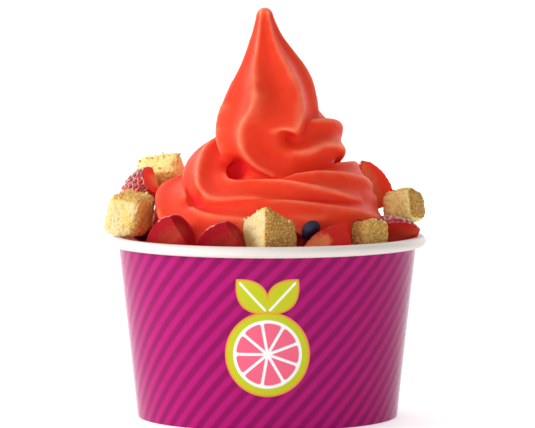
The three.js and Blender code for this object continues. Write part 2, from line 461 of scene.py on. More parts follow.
def emblemColour(paint, ground, across, up):
    # leaves on both sides, by their distance inside the edge
    lean = math.radians(emblem["leafLean"])
    out, rise = abs(across), up - emblem["leafFoot"]
    along = out * math.cos(lean) + rise * math.sin(lean)
    aside = abs(rise * math.cos(lean) - out * math.sin(lean))
    middle = along * (2 / emblem["leafLength"]) - 1
    leaf = (1 - middle * middle) * emblem["leafWidth"] - aside
    vein = paint.math("MINIMUM", emblem["veinWidth"] - aside, leaf - emblem["veinInset"])
    # the slice, from its rind inwards
    reach = paint.math("SQRT", across * across + up * up)
    rind = emblem["rind"] - reach
    half = math.pi / emblem["segments"]
    angle = paint.math("WRAP", paint.math("ARCTAN2", up, across), half, -half)
    wall = reach * paint.math("SINE", half - abs(angle)) - emblem["membrane"]
    flesh = paint.math("SMOOTH_MIN", wall, emblem["flesh"] - reach, emblem["segmentRound"])
    edge, soft = emblem["outline"], emblem["soft"]
    layers = [("ochre", leaf + edge), ("lime", leaf), ("white", vein), ("ochre", rind + edge)]
    layers += [("lime", rind), ("white", emblem["pith"] - reach), ("pink", flesh)]
    for name, inside in layers:
        ground = paint.mix(paint.soften(inside, -soft, soft), ground, emblem[name])
    return ground


def printedPaper():
    paint = Paint("printedPaper", {"Specular IOR Level": 0.0, "Coat Weight": 1.0})
    paint.shade({"Coat IOR": 1.18, "Coat Roughness": 0.14})
    spot = paint.place()
    x, y, z = (paint.node("SeparateXYZ", {}, {0: spot}, k) for k in range(3))
    angle = paint.math("ARCTAN2", y, x)
    wave = paint.math("SINE", angle * cup["stripes"] - z * (2 * math.pi / cup["stripeRise"]))
    soft = cup["stripeSoftness"]
    stripes = paint.mix(paint.soften(wave, -soft, soft), cup["stripeDark"], cup["stripeLight"])
    ink = paint.noise(cup["inkPatch"], 3)
    stripes = paint.mix(paint.soften(ink, *cup["inkRange"]) * cup["inkShare"], stripes, cup["stripeDark"])
    front = paint.math("WRAP", angle + math.pi / 2, math.pi / 2, -math.pi / 2)
    across = front * (z * cup["slope"] + cup["baseRadius"])
    colour = emblemColour(paint, stripes, across, z - emblem["middle"])
    fibre = paint.noise(0.5, 3)
    paint.shade({"Base Color": colour, "Roughness": fibre * 0.16 + 0.3})
    paint.bump(fibre, 0.03)
    return paint


def whitePaper():
    paint = Paint("whitePaper", {"Specular IOR Level": 0.4})
    fibre = paint.noise(0.7, 4)
    mottle = paint.noise(6)
    white = cup["white"]
    shade = [0.95 * c for c in white]
    paint.shade({"Base Color": paint.mix(mottle, shade, white), "Roughness": fibre * 0.2 + 0.4})
    paint.bump(fibre, 0.04)
    return paint


# The overlap of the board at the side seam stands proud of the wall and tapers away from its edge
def seamLift(angles):
    away = np.mod(angles - math.radians(cup["seamAngle"]), 2 * math.pi) * cup["baseRadius"]
    return cup["seamStep"] * np.where(away < cup["seamWidth"], 1 - away / cup["seamWidth"], 0)


def addCup(printed, white):
    seam = math.radians(cup["seamAngle"])
    angles = seam + np.concatenate([allRound(cup["sides"]), [-cup["seamEdge"]]])
    angles = np.sort(np.mod(angles - seam, 2 * math.pi)) + seam
    roll = cup["rimRoll"] / 2
    rollMiddle = (cup["rimRadius"] - roll, cup["height"] - roll)
    inner = wallRadius(cup["height"]) - cup["board"]
    foot, bevel, lip = cup["baseRadius"], cup["bevel"], cup["lip"]
    start, end = cup["wallEnds"]
    wallRows = [(wallRadius(z), z) for z in np.linspace(start, cup["wallTop"] - end, cup["wallRows"])]
    foldFoot = foot - cup["foldThickness"]
    outside = [(foldFoot, bevel), (foldFoot + bevel, 0)]
    outside += [(foot + out, up) for out, up in cup["footCorner"]] + wallRows
    rim = [(cup["wallTopRadius"] + out, cup["wallTop"] + up) for out, up in cup["underRoll"]]
    rim += arc(rollMiddle, roll, *cup["rollSpan"], cup["rollSteps"])
    rim += arc((inner + lip, cup["height"] - lip), lip, 90, 180, cup["lipSteps"])
    fold, foldBevel = cup["foldHeight"], cup["foldBevel"]
    foldInner = wallRadius(fold) - cup["foldThickness"]
    inside = [(wallRadius(z) - cup["board"], z) for z in cup["insideHeights"] + [fold + foldBevel]]
    inside += [(wallRadius(fold) - cup["board"] - foldBevel, fold)]
    inside += [(foldInner + foldBevel, fold), (foldInner, fold - bevel)]
    # the profile ends on its first row, and the two are welded
    profile = outside + rim + inside + outside[:1]
    points, faces = lathe(profile, angles)
    lift = np.outer([row in wallRows for row in profile], seamLift(angles)).ravel()
    radial = points * np.array([1, 1, 0])
    points = points + radial / np.linalg.norm(radial, axis=1)[:, None] * lift[:, None]
    mesh = buildMesh("paperCup", points, faces)
    addPiece("paperCup", mesh, [white, printed], "printed_paper", "cup_wall")
    # the print ends at the lower edge and under the roll
    heights = np.array([face.center.z for face in mesh.polygons]) / mm
    reaches = np.array([face.center.to_2d().length for face in mesh.polygons]) / mm
    onWall = reaches > cup["baseRadius"] + cup["slope"] * heights - cup["printDepth"]
    onWall &= (heights > cup["printStart"]) & (heights < cup["wallTop"])
    mesh.polygons.foreach_set("material_index", onWall.astype(np.int32))


def addBase(white):
    low = cup["foldHeight"] + cup["gap"]
    top = low + cup["baseThickness"]
    reach = wallRadius(low) - cup["board"] - cup["gap"]
    bevel, middle, raised = cup["bevel"], cup["embossRadius"], low + cup["embossDepth"]
    profile = [(0, raised), (middle, raised), (middle + cup["embossSlope"], low), (reach - bevel, low)]
    profile += [(reach, low + bevel), (reach, top - bevel), (reach - bevel, top), (0, top)]
    points, faces = lathe(profile, allRound(cup["baseSides"]))
    addPiece("paperBase", buildMesh("paperBase", points, faces), [white], "white_paper", "cup_base")


printed = printedPaper()
white = whitePaper()
addCup(printed, white)
addBase(white)
print("cup made")

# Cake cubes: the turns are those of the CAD pieces, and crust lists the browned faces
cake = {
    "firstDraw": 11,
    "drawStep": 7,
    "cells": 50,
    "lean": 0.06,
    "crustTurn": (0.35, 0.8),  # how far a face may turn from a browned side
    "brownEdge": (0.12, 0.3),
    "brownPatch": 3,
    "brownShare": 0.8,
    # sizes of the cells of crumb and crust
    "pore": 0.6,
    "hole": 1.3,
    "grain": 0.8,
    "fineGrain": 0.45,
    "swell": 5,
    "chip": 1.4,
    # and how far they lift or sink the surface
    "swellLift": 0.45,
    "chipLift": 0.6,
    "poreDepth": 0.3,
    "grainLift": 0.5,
    "cream": (0.81, 0.65, 0.35),
    "yellow": (0.8, 0.58, 0.19),
    "poreShade": (0.66, 0.4, 0.11),
    "brown": (0.64, 0.38, 0.09),
    "golden": (0.78, 0.48, 0.13),
    "scorched": (0.38, 0.17, 0.035),
    # paler crumb: partly the cubes' own paler crumb, partly painted light on cubes that stand in the light
    "paleLitCrumb": (1.0, 0.88, 0.34),
    "cubes": {
        "cake_front": {"size": (13.2, 13.2, 15.4), "turns": (-6, 5, 34.5), "slope": 0.85,
                       "crust": [(0, -1, 0)], "dark": 1, "edge": 2.6},
        "cake_front_right": {"size": (8.6, 9.2, 9.8), "turns": (-6, 6, -20),
                             "crust": [(0, 0, 1), (0, -1, 0), (-1, 0, 0)],
                             "dark": 0.6, "edge": 1.8},
        "cake_right": {"size": (12.6, 11, 10.6), "turns": (14, 10, 52),
                       "crust": [(-1, 0, 0)], "dark": 0.9, "paleAndLit": 1, "edge": 3.4},
        "cake_left": {"size": (11.8, 11.8, 11.6), "turns": (4, 8, 54),
                      "crust": [(1, 0, 0), (0, 0, 1)], "edge": 2.4},
        "cake_back_left": {"size": (11, 14, 11), "turns": (6, 36, 26),
                           "crust": [(1, 0, 0)], "paleAndLit": 0.9, "edge": 3},
        "cake_back": {"size": (12, 12, 11.6), "turns": (-8, 9, 34),
                      "crust": [(0, -1, 0), (0, 0, 1)], "dark": 0.4, "edge": 2.4},
        "cake_back_right": {"size": (11, 10.4, 11), "turns": (7, -9, 12),
                            "crust": [(1, 0, 0)], "dark": 0.5, "paleAndLit": 0.3, "edge": 2.8},
    },
}


# The surface of a cube from -1 to 1 in square cells
def cubeGrid(cells):
    quads = []
    i, j = crossed(np.arange(cells), np.arange(cells))
    for axis in range(3):
        for side in (0, cells):
            ring = [(i, j), (i + 1, j), (i + 1, j + 1), (i, j + 1)]
            spots = [np.insert(np.stack(pair, axis=1), axis, side, axis=1) for pair in ring]
            quads.append(np.stack(spots, axis=1))
    corners = np.concatenate(quads).reshape(-1, 3)
    spots, index = np.unique(corners, axis=0, return_inverse=True)
    return spots * (2 / cells) - 1, index.reshape(-1, 4)


def cakePaint():
    paint = Paint("cake", {"Specular IOR Level": 0.15})
    paint.glow(0.12, (1.0, 0.6, 0.25), 1.2)
    crust, pit, dark = paint.stored("crust"), paint.stored("pit"), paint.stored("dark")
    crumb = paint.noise(0.55, 3)
    grain = paint.noise(0.9)
    patch = paint.noise(5)
    inside = paint.mix(paint.soften(patch, 0.4, 0.62), cake["cream"], cake["yellow"])
    # paler crumb on some cubes, partly painted light
    inside = paint.mix(paint.stored("paleAndLit"), inside, cake["paleLitCrumb"])
    inside = paint.mix(paint.soften(crumb, 0.5, 0.68) * 0.4, inside, cake["poreShade"])
    inside = paint.mix(paint.soften(pit, 0.1, 0.7) * 0.5, inside, cake["poreShade"])
    baked = paint.mix(paint.soften(crumb, 0.4, 0.6), cake["brown"], cake["golden"])
    baked = paint.mix(dark * paint.soften(crumb, 0.75, 0.35), baked, cake["scorched"])
    baked = paint.mix(paint.soften(grain, 0.55, 0.68) * (0.7 - dark * 0.4), baked, cake["cream"])
    share = paint.soften(crust + (crumb - 0.5) * 0.9 + (patch - 0.5) * 0.8, 0.3, 0.7)
    paint.shade({"Base Color": paint.mix(share, inside, baked), "Roughness": crumb * 0.2 + 0.75})
    paint.bump(crumb + grain * 0.6, 0.2)
    return paint


def addCake(name, number, paint):
    row = cake["cubes"][name]
    seed = cake["firstDraw"] + cake["drawStep"] * number
    points, faces = cubeGrid(cake["cells"])
    half = np.array(row["size"]) / 2
    draw = np.random.default_rng(seed)
    lean = draw.uniform(-cake["lean"], cake["lean"], (3, 3))
    box = points * half
    heart = np.clip(box, -(half - row["edge"]), half - row["edge"])
    normal = (box - heart) / np.linalg.norm(box - heart, axis=1)[:, None]
    box = heart + row["edge"] * normal
    crust = np.zeros(len(box))
    for side in row["crust"]:
        crust = np.maximum(crust, ramp(normal @ side, *cake["crustTurn"]))
    edge = 1 - np.abs(normal).max(axis=1)
    patches = ramp(bumpy(box, cake["brownPatch"], seed + 6), -0.3, 0.5)
    crust = np.maximum(crust, cake["brownShare"] * (ramp(edge, *cake["brownEdge"]) * patches))
    pores = np.clip(bumpy(box, cake["pore"], seed) - 0.1, 0, 1)
    pores = pores + np.clip(bumpy(box, cake["hole"], seed + 1) - 0.3, 0, 1)
    pores = pores * (1 - 0.7 * crust)
    grains = np.abs(bumpy(box, cake["grain"], seed + 2))
    grains = grains + 0.6 * np.abs(bumpy(box, cake["fineGrain"], seed + 5))
    swell = cake["swellLift"] * bumpy(box, cake["swell"], seed + 3)
    swell = swell + cake["chipLift"] * edge * bumpy(box, cake["chip"], seed + 4)
    lift = swell - cake["poreDepth"] * pores + crust * cake["grainLift"] * (grains - 0.4) - 0.1
    box = box + normal * lift[:, None]
    box = box + box @ lean
    # lower away from one upright edge, where the cube slopes
    away = (box[:, 0] / half[0] + box[:, 1] / half[1] + 2) / 4
    box[:, 2] = (box[:, 2] + half[2]) * (1 - row.get("slope", 0) * away) - half[2]
    mesh = buildMesh(name, settle(box, name, row["turns"]), faces, weld=0)
    store(mesh, "crust", crust)
    store(mesh, "pit", pores)
    for share in ("dark", "paleAndLit"):
        store(mesh, share, row.get(share, 0))
    return addTopping("cakeCube", mesh, [paint], "cake", name)


crumbPaint = cakePaint()
cakePieces = [addCake(name, k, crumbPaint) for k, name in enumerate(cake["cubes"])]
print("cake made")

# Hulled and halved strawberries: tip to the left, cut face outwards, turned as the CAD pieces are
fruit = {
    "firstDraw": 71,
    "drawStep": 9,
    "length": 15.5,
    "radius": 6.4,
    "depth": 7.2,
    "outline": [(0, 0), (0.42, 0.1), (0.78, 0.33), (1, 0.64), (0.96, 0.86), (0.84, 1)],
    "rowsPerSpan": 15,
    "hullRows": 14,
    "sides": 144,
    "seedSpacing": 1.9,
    "seedLength": 1.25,
    "seedWidth": 0.8,
    "seedThickness": 0.5,
    "seedSides": 10,
    "seedRows": 7,
    "seedMargin": 0.7,  # bare skin at the hulled end and at the cut
    "seedAspect": 1.15,  # spacing round the fruit to that along it
    "seedJitter": (0.18, 0.05),  # along in mm, and round in radians
    "seedSink": 0.75,
    "dimple": 0.6,
    "dimpleReach": 0.75,
    "dimpleEnds": (1.5, 0.8),  # smooth skin at the tip and the hulled end
    "unevenness": 0.25,
    "unevenSize": 5,
    "faceWave": 0.1,
    "faceWaveSize": 1.5,
    "heartRise": 0.25,
    "heartWidth": 0.25,
    "fadeSpan": (8, 13),  # along the fruit, where a pale streak fades
    "weld": 2e-6,
    "shortestEdge": 1e-7,
    "cutEdge": 0.7,
    "cutFade": (-0.05, 0.25),
    "hullFade": 0.3,
    "skin": (0.42, 0.008, 0.014),
    "skinPale": (0.6, 0.025, 0.018),
    "flesh": (0.35, 0.005, 0.013),
    # brighter flesh: partly redder flesh, partly painted light on cut faces that lie in shade
    "fleshBrightLit": (0.88, 0.05, 0.022),
    "fleshPale": (0.82, 0.24, 0.09),
    "seed": (0.34, 0.1, 0.03),
    "halves": {
        "strawberry_left": {"turns": (168, -34, 67), "bright": 1, "pale": 1},
        "strawberry_front_left": {"turns": (12, -30, 4), "bright": 0.05, "pale": 0.12},
        "strawberry_front": {"turns": (12, -30, 0), "bright": 0, "pale": 0.08},
        "strawberry_front_right": {"turns": (-20, -14, -14), "bright": 0.4, "pale": 0.9,
                                   "streak": 2.2, "fade": 1},  # streak: height above the middle
        "strawberry_right": {"turns": (-35, 166, -68), "bright": 0.4, "pale": 0.2},
        "strawberry_back_right": {"turns": (-15, 72, -110), "bright": 1, "pale": 0.5},
        "strawberry_back": {"turns": (-12, -26, 0), "bright": 0.2, "pale": 0.4},
        "strawberry_rear_left": {"turns": (-14, 24, 0), "bright": 0.4, "pale": 0.6},
    },
}


def strawberryPaint():
    paint = Paint("strawberry", {"Specular IOR Level": 0.3, "Coat Roughness": 0.08})
    paint.glow(0.1, (1.0, 0.2, 0.12), 1.5)
    blotch = paint.noise(4)
    fine = paint.noise(0.6, 3)
    skin = paint.mix(paint.soften(blotch, 0.45, 0.75), fruit["skin"], fruit["skinPale"])
    paint.shade({"Base Color": skin, "Roughness": fine * 0.15 + 0.25, "Coat Weight": 1.0})
    paint.bump(fine, 0.08)
    return paint


# The cut face, paler towards its middle where the piece has it so
def fleshPaint():
    paint = Paint("strawberryFlesh", {"Specular IOR Level": 0.05})
    paint.glow(0.15, (1.0, 0.2, 0.12), 1.5)
    core, bright, pale = paint.stored("core"), paint.stored("bright"), paint.stored("pale")
    fine = paint.noise(0.6, 3)
    vein = paint.soften(core + (paint.noise(1.2, 3) - 0.5) * 0.6, 0.65, 0.1)
    # brighter on some pieces: partly their own redder flesh, partly painted light
    inside = paint.mix(bright, fruit["flesh"], fruit["fleshBrightLit"])
    inside = paint.mix(vein * pale, inside, fruit["fleshPale"])
    paint.shade({"Base Color": inside, "Roughness": fine * 0.15 + 0.4})
    paint.bump(fine, 0.08)
    return paint


def seedPaint():
    paint = Paint("strawberrySeed", {"Roughness": 0.35})
    tone = paint.noise(0.8, 1)
    dark = [0.45 * c for c in fruit["seed"]]
    paint.shade({"Base Color": paint.mix(paint.soften(tone, 0.35, 0.65), dark, fruit["seed"])})
    return paint


# Places of the seeds: rows along the fruit, staggered from row to row, as distance and angle
def seedPlaces(line, gone, end):
    places = []
    spacing = fruit["seedSpacing"]
    for k, distance in enumerate(np.arange(spacing, end - fruit["seedMargin"], spacing)):
        reach = np.interp(distance, gone, line[:, 0])
        count = max(int(2 * math.pi * reach / (fruit["seedAspect"] * spacing)), 3)
        for j in range(count):
            places.append((distance, 2 * math.pi * (j + 0.5 * (k % 2)) / count))
    return np.array(places)


def seedBall():
    rows, sides = fruit["seedRows"], fruit["seedSides"]
    polar, around = crossed(np.linspace(0, math.pi, rows), allRound(sides))
    wide = np.sin(polar)
    points = np.stack([np.cos(polar), wide * np.cos(around), wide * np.sin(around)], axis=1)
    return points, tubeFaces(rows, sides)


def addStrawberry(name, number, paints):
    row = fruit["halves"][name]
    seed = fruit["firstDraw"] + fruit["drawStep"] * number
    size = np.array([fruit["radius"], fruit["length"]])
    line = curveThrough(np.array(fruit["outline"]) * size, fruit["rowsPerSpan"])
    line[:, 0] = np.maximum(line[:, 0], 0)
    hull = len(line)
    flat = np.linspace(line[-1], (0, line[-1, 1]), fruit["hullRows"] + 1)[1:]
    line = np.vstack([line, flat])
    gone = travel(line)
    end = gone[hull - 1]
    around = allRound(fruit["sides"])
    draw = np.random.default_rng(seed)
    seeds = seedPlaces(line, gone, end)
    seeds += draw.normal(0, 1, seeds.shape) * fruit["seedJitter"]

    def onSkin(distance, angle, lift):
        columns = [*line.T, *np.gradient(line, gone, axis=0).T]
        reach, along, run, climb = (np.interp(distance, gone, column) for column in columns)
        reach = reach + lift * climb
        along = along - lift * run
        return np.stack([along, reach * np.cos(angle), reach * np.sin(angle)], axis=-1)

    distance, angle = crossed(gone, around)
    reach = np.interp(distance, gone, line[:, 0])
    gap = np.abs(angle[:, None] - seeds[None, :, 1])
    gap = np.minimum(gap, 2 * math.pi - gap) * reach[:, None]
    away = np.hypot(gap, distance[:, None] - seeds[None, :, 0]).min(axis=1)
    tipEnd, hullEnd = fruit["dimpleEnds"]
    ends = ramp(distance, 0, tipEnd) * ramp(end - distance, 0, hullEnd)
    lift = -fruit["dimple"] * np.exp(-(away / fruit["dimpleReach"]) ** 2) * ends
    points = onSkin(distance, angle, lift)
    waves = [bumpy(points, fruit["unevenSize"], seed + k) for k in range(3)]
    points = points + fruit["unevenness"] * np.stack(waves, axis=1)
    # the half towards the front is cut away, with a slightly uneven face and a soft edge
    plane = fruit["radius"] - fruit["depth"]
    core = np.abs(points[:, 2] - row.get("streak", 0)) / np.maximum(reach, 0.6)
    core = core + row.get("fade", 0) * ramp(points[:, 0], *fruit["fadeSpan"])
    core = np.where(distance > end, reach / line[hull - 1, 0], core)
    wave = bumpy(points * (1, 0, 1), fruit["faceWaveSize"], seed + 5)
    heart = np.exp(-(core / fruit["heartWidth"]) ** 2)
    face = plane + fruit["faceWave"] * wave + fruit["heartRise"] * heart
    soft = fruit["cutEdge"]
    over = face - points[:, 1]
    cut = np.maximum(ramp(over, *fruit["cutFade"]), ramp(distance - end, 0, fruit["hullFade"]))
    points[:, 1] += 0.5 * (over + np.sqrt(over * over + soft * soft)) - 0.5 * soft * np.exp(-np.abs(over))
    flesh = len(points)
    faces = [tuple(quad) for quad in tubeFaces(len(gone), len(around))]
    ball, ballFaces = seedBall()
    ball = ball * np.array([fruit["seed" + side] for side in ("Length", "Width", "Thickness")]) / 2
    grown = [points]
    count = flesh
    for far, turn in seeds:
        middle = onSkin(far, turn, -fruit["seedSink"] * fruit["dimple"])
        if middle[1] < plane + fruit["seedMargin"]:
            continue
        ahead = onSkin(far + 0.1, turn, 0) - onSkin(far - 0.1, turn, 0)
        ahead = ahead / np.linalg.norm(ahead)
        aside = np.array([0, -math.sin(turn), math.cos(turn)])
        grown.append(middle + ball @ np.array([ahead, aside, np.cross(ahead, aside)]))
        faces += [tuple(quad + count) for quad in ballFaces]
        count += len(ball)
    points = settle(np.vstack(grown), name, row["turns"])
    extra = count - flesh
    mesh = bpy.data.meshes.new(name)
    mesh.from_pydata(points * mm, [], faces)
    store(mesh, "core", np.concatenate([core, np.ones(extra)]))
    for share in ("bright", "pale"):
        store(mesh, share, row[share])
    cut = np.concatenate([cut, np.zeros(extra)])
    # materials: the skin, the cut face and the seeds
    kind = np.array([2 if face[0] >= flesh else int(cut[list(face)].mean() > 0.5) for face in faces])
    piece = addTopping("halfStrawberry", mesh, paints, "strawberry", name)
    mesh.polygons.foreach_set("material_index", kind.astype(np.int32))
    mend(mesh, fruit["weld"], fruit["shortestEdge"])
    return piece


fruitPaints = [strawberryPaint(), fleshPaint(), seedPaint()]
fruitPieces = [addStrawberry(name, k, fruitPaints) for k, name in enumerate(fruit["halves"])]
print("strawberries made")

# Dark berries with a small crown
berry = {
    "firstDraw": 201,
    "squash": 0.86,
    "rows": 40,
    "sides": 64,
    "crownRadius": 1.5,
    "crownPoints": 5,
    "crownHeight": 0.35,
    "crownRipple": 0.12,
    "crownWidth": 0.4,
    "crownDepth": 0.5,
    "unevenness": 0.015,
    "unevenSize": 4,
    "skin": (0.012, 0.006, 0.035),
    "bloom": (0.045, 0.035, 0.11),
    "leans": {
        "dark_berry_front_right": (-100, 15, 0),
        "dark_berry_front_left": (20, -25, 0),
        "dark_berry_right": (30, 0, 0),
        "dark_berry_left": (-20, 30, 0),
        "dark_berry_back": (25, 15, 0),
        "dark_berry_rear_right": (10, -30, 0),
    },
}


def darkBerryPaint():
    paint = Paint("darkBerry", {"Specular IOR Level": 0.5})
    haze = paint.noise(2.2, 3)
    fine = paint.noise(0.4)
    bloom = paint.soften(haze, 0.42, 0.7)
    colour = paint.mix(bloom * 0.5, berry["skin"], berry["bloom"])
    paint.shade({"Base Color": colour, "Roughness": bloom * 0.25 + 0.3})
    paint.bump(fine, 0.03)
    return paint


def addDarkBerry(name, number, paint):
    low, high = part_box(name)
    radius = (high[0] - low[0]) / (2 * mm)
    polar = np.linspace(0, math.pi, berry["rows"])
    tilt, turn = crossed(polar, allRound(berry["sides"]))
    reach = radius * np.sin(tilt)
    ripple = berry["crownHeight"] + berry["crownRipple"] * np.cos(berry["crownPoints"] * turn)
    crown = ripple * np.exp(-((reach - berry["crownRadius"]) / berry["crownWidth"]) ** 2)
    cupDepth = berry["crownDepth"] * ramp(berry["crownRadius"] - reach, 0, 1)
    height = radius * berry["squash"] * np.cos(tilt)
    height = height + np.where(tilt < math.pi / 2, crown - cupDepth, 0)
    points = np.stack([reach * np.cos(turn), reach * np.sin(turn), height], axis=1)
    wave = bumpy(points, berry["unevenSize"], berry["firstDraw"] + number)
    points = points * (1 + berry["unevenness"] * wave)[:, None]
    faces = tubeFaces(berry["rows"], berry["sides"])
    mesh = buildMesh(name, settle(points, name, berry["leans"][name]), faces)
    addTopping("darkBerry", mesh, [paint], "dark_berry", name)


berryPaint = darkBerryPaint()
for k, name in enumerate(berry["leans"]):
    addDarkBerry(name, k, berryPaint)
print("dark berries made")

# Piped sorbet. The rope's rows give quarter turns from its start on the left, reach from the axis,
# height, radius and the turn of its ridges in degrees.
sorbet = {
    "fillEdge": 51,
    "fillCrown": 54,
    "coreRadius": 15.5,
    "coreShoulder": 67,
    "coreTop": 80.5,
    "domeRows": 10,
    "fillSides": 128,
    "play": 0.05,  # clearance to the paper
    "firstQuarter": -2,
    "coil": [
        (0, 24, 53, 6, 60), (1, 25.5, 60, 9.2, 60), (2, 26, 60, 9.5, 60),
        (3, 26.5, 58.2, 9.5, 60), (3.5, 26.8, 56.2, 9.5, 54), (4, 26, 62.4, 9.4, 50),
        (4.5, 25, 64.6, 9.3, 32), (5, 24.5, 68.4, 9.2, -4), (6, 23.2, 68.4, 9, -36),
        (7, 20.5, 64.2, 9, 0), (7.5, 19.6, 64.4, 9, -42), (8, 16.4, 73.2, 8.8, -44),
        (8.5, 15, 77.2, 9, -52), (9, 14.2, 80.4, 9.2, -62), (10, 14.3, 83.1, 9.9, -74),
    ],
    # then the turn up into the peak: x, y, z, radius and turn
    "peak": [
        (9.4, -5.4, 79, 10, -85), (5.6, -7.4, 76.6, 9.2, -98), (1.6, -7.4, 78.9, 8.3, -117),
        (-1.7, -6, 83.3, 13.8, -109), (0.6, -4.2, 90, 14.6, -99), (1.3, -2, 95.8, 13.6, -100),
        (1.4, -1, 100.9, 12.2, -104), (1.1, -0.4, 104.5, 10.4, -107), (0.6, 0, 108.2, 8.2, -110),
        (-0.25, 0, 113.6, 5.3, -110), (-0.6, 0, 117.3, 3.7, -110), (-0.85, 0, 121.2, 2.6, -110),
    ],
    "stepsPerRow": 3,
    "stepsPerStation": 24,
    "ringSpacing": 0.8,
    "ringSides": 96,
    "evenings": 16,  # rounds that even out the rope's line
    "tipRings": 8,
    "tipEnd": 0.05,
    "ridges": 6,
    "ridgeDepth": 0.23,
    "ridgeRise": 0.06,
    "ridgeRound": 0.045,
    "firstRidge": 18,
    "voxel": 0.42,
    "softRounds": 2,
    "creaseRounds": 4,
    "creaseShare": 0.9,
    # spots where the sorbet runs together more: middle, reach and rounds
    "blends": [((6.2, -14, 84), 3.6, 50), ((31.8, -2, 69), 4.5, 60)],
    # and spots where it is hollowed out, or swells if the depth is negative: middle, reach and depth
    "dents": [
        ((-23.4, -18.5, 67.2), 2.8, 2.2),
        ((-9.5, -9, 75.8), 3.6, 2.6),
        ((12, -33.4, 56.2), (9, 6.5, 3.4), 10),
        ((12.5, -34, 62.4), (8, 5, 2), -1.5),
    ],
    "wobble": 0.08,
    "wobbleSizes": (7, 2.6),
    "reliefRounds": 20,
    "reliefShare": 0.7,
    # ranges of relief for the painted highlight on ridges and the painted shade in hollows, and heights
    # over which the highlight grows and the painted shade near the rim comes in
    "crestHighlightRelief": (0.02, 0.45),
    "hollowShadeRelief": (0.0, -0.5),
    "crestHighlightHeights": (62, 78),
    "rimShadeHeights": (61, 55),
    "triangles": 160000,
    # the sorbet's own colour, then a painted highlight colour for the ridges and a painted shade colour
    # for the hollows
    "flesh": (0.8, 0.047, 0.015),
    "crest": (0.98, 0.25, 0.13),
    "paintedHollowShade": (0.74, 0.012, 0.018),
}


# A smooth value between the listed ones
def between(values, place):
    index = min(int(place), len(values) - 2)
    t = place - index
    a, b, c, d = (values[min(max(index + k, 0), len(values) - 1)] for k in (-1, 0, 1, 2))
    square = (2 * a - 5 * b + 4 * c - d) * t * t
    cube = (3 * b - a - 3 * c + d) * t ** 3
    return 0.5 * (2 * b + (c - a) * t + square + cube)


def ropeLine():
    columns = list(zip(*sorbet["coil"]))
    stations = []
    for k in range(sorbet["stepsPerRow"] * (len(sorbet["coil"]) - 1) + 1):
        quarter, reach, z, radius, turn = (between(c, k / sorbet["stepsPerRow"]) for c in columns)
        angle = -math.pi / 2 * (quarter + sorbet["firstQuarter"])
        stations.append((reach * math.cos(angle), reach * math.sin(angle), z, radius, turn))
    line = curveThrough(stations + sorbet["peak"], sorbet["stepsPerStation"])
    gone = travel(line[:, :3])
    even = np.linspace(0, gone[-1], int(gone[-1] / sorbet["ringSpacing"]) + 1)
    line = np.stack([np.interp(even, gone, line[:, k]) for k in range(5)], axis=1)
    for k in range(sorbet["evenings"]):
        line[1:-1] = (line[:-2] + 2 * line[1:-1] + line[2:]) / 4
    x, y, z, radius, turn = line[-1]
    for angle in np.linspace(0, math.pi / 2, sorbet["tipRings"] + 1)[1:]:
        cap = (x, y, z + radius * math.sin(angle), max(radius * math.cos(angle), sorbet["tipEnd"]), turn)
        line = np.vstack([line, cap])
    return line


# The nozzle's star swept along the rope: each ring is turned, then tipped over to the rope's direction
def ropeShape():
    line = ropeLine()
    middles, radii, turns = line[:, :3], line[:, 3], np.radians(line[:, 4])
    along = np.gradient(middles, axis=0)
    along /= np.linalg.norm(along, axis=1)[:, None]
    around = allRound(sorbet["ringSides"])
    level = np.stack([np.sin(around), -np.cos(around), np.zeros(len(around))], axis=1)
    rings = []
    for middle, radius, turn, ahead in zip(middles, radii, turns, along):
        tilt = np.cross((0, 0, 1), ahead)
        tipped = level * ahead[2] + np.cross(tilt, level) + np.outer(level @ tilt, tilt) / (1 + ahead[2])
        ridge = sorbet["ridges"] * (around - math.radians(sorbet["firstRidge"]) - turn) / 2
        valley = np.hypot(np.sin(ridge), sorbet["ridgeRound"]) - sorbet["ridgeRound"]
        outline = 1 + sorbet["ridgeRise"] - sorbet["ridgeDepth"] * valley
        rings.append(middle + radius * outline[:, None] * tipped)
    faces = [tuple(face) for face in tubeFaces(len(rings), len(around))]
    first = len(rings) * len(around)
    faces.append(tuple(range(len(around) - 1, -1, -1)))
    faces.append(tuple(range(first - len(around), first)))
    return np.concatenate(rings), faces


def fillShape():
    low = cup["foldHeight"] + cup["gap"] + cup["baseThickness"] + sorbet["play"]
    reach = [(wallRadius(z) - cup["board"] - sorbet["play"], z) for z in (low, sorbet["fillEdge"])]
    dome = [(sorbet["coreRadius"], sorbet["fillCrown"])]
    for angle in np.radians(np.linspace(0, 90, sorbet["domeRows"])):
        rise = (sorbet["coreTop"] - sorbet["coreShoulder"]) * math.sin(angle)
        dome.append((sorbet["coreRadius"] * math.cos(angle), sorbet["coreShoulder"] + rise))
    profile = [(0, low)] + reach + dome
    return lathe(profile, allRound(sorbet["fillSides"]))


# Moves each point towards the middle of its neighbours
def relaxed(points, edges, share=0.5):
    count = np.maximum(np.bincount(edges.ravel(), minlength=len(points)), 1)
    middle = np.empty_like(points)
    for axis in range(3):
        pulls = points[edges[:, ::-1].T.ravel(), axis]
        middle[:, axis] = np.bincount(edges.T.ravel(), weights=pulls, minlength=len(points)) / count
    return points + share * (middle - points)


# 1 at a spot, falling to nothing over the reach
def nearness(points, spot, reach):
    return np.exp(-(((points - spot) / reach) ** 2).sum(axis=1))


# Lets the surface run together round a spot
def blended(points, edges, spot, reach, rounds):
    near = nearness(points, spot, reach)
    inside = near > 0.01
    order = np.cumsum(inside) - 1
    local, links = points[inside], order[edges[inside[edges].all(axis=1)]]
    linked = np.bincount(links.ravel(), minlength=len(local)) > 0
    share = (near[inside] * linked)[:, None]
    for k in range(rounds):
        local = local + share * (relaxed(local, links, 1.0) - local)
    points = points.copy()
    points[inside] = local
    return points


